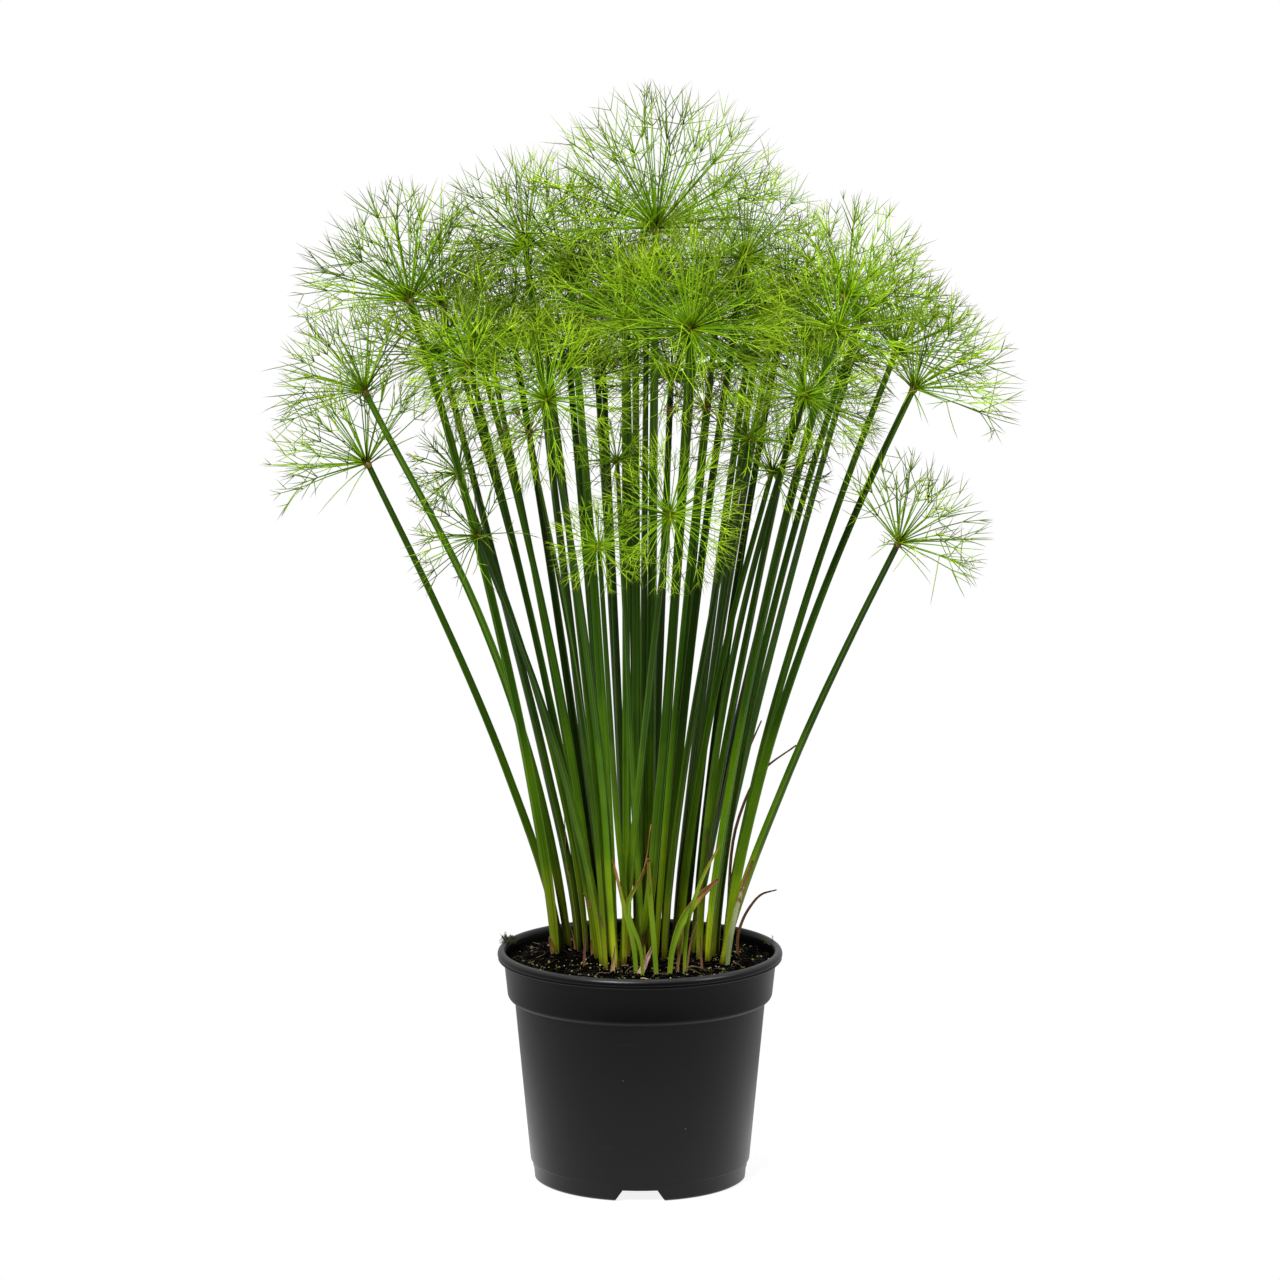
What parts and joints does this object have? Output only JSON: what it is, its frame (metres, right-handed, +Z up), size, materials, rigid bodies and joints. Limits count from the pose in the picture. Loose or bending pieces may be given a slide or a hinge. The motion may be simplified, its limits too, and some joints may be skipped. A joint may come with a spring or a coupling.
{
  "type": "potted dwarf papyrus",
  "caption": "Potted dwarf papyrus: a clump of tall three-sided stems, each topped by a globe of thread-like rays, in a round black nursery pot of compost.",
  "frame": {"origin": "on the pot's axis, on the surface that the pot stands on", "axes": "+Z up along the pot's axis, +X to the right and -Y towards a viewer in front"},
  "size_m": [0.4989, 0.4087, 0.7269],
  "materials": {
    "pot_plastic": "fine satin moulded",
    "compost": "dark fibrous peat, damp",
    "culm": "smooth waxy green with fine lengthwise lines",
    "leaf": "satin yellow-green going brown at the tip",
    "dry_leaf": "dry matt brown"
  },
  "bodies": {
    "root": {"pot": "pot_plastic", "soil": "compost", "stem_01": "culm", "stem_02": "culm", "stem_03": "culm", "stem_04": "culm", "stem_05": "culm", "stem_06": "culm", "stem_07": "culm", "stem_08": "culm", "stem_09": "culm", "stem_10": "culm", "stem_11": "culm", "stem_12": "culm", "stem_13": "culm", "stem_14": "culm", "stem_15": "culm", "stem_16": "culm", "stem_17": "culm", "stem_18": "culm", "stem_19": "culm", "stem_20": "culm", "stem_21": "culm", "stem_22": "culm", "stem_23": "culm", "stem_24": "culm", "stem_25": "culm", "stem_26": "culm", "stem_27": "culm", "stem_28": "culm", "stem_29": "culm", "stem_30": "culm", "stem_31": "culm", "stem_32": "culm", "stem_33": "culm", "stem_34": "culm", "stem_35": "culm", "stem_36": "culm", "stem_37": "culm", "stem_38": "culm", "stem_39": "culm", "stem_40": "culm", "stem_41": "culm", "stem_42": "culm", "stem_43": "culm", "stem_44": "culm", "stem_45": "culm", "stem_46": "culm", "stem_47": "culm", "stem_48": "culm", "stem_49": "culm", "leaf_blade_left": "leaf", "leaf_blade_curled": "leaf", "leaf_stub": "leaf", "leaf_blade_broad": "leaf", "leaf_blade_right": "leaf", "torn_sheath": "dry_leaf", "dry_strand_low": "dry_leaf", "dry_strand_high": "dry_leaf", "dry_strand_mid": "dry_leaf"}
  },
  "joints": []
}
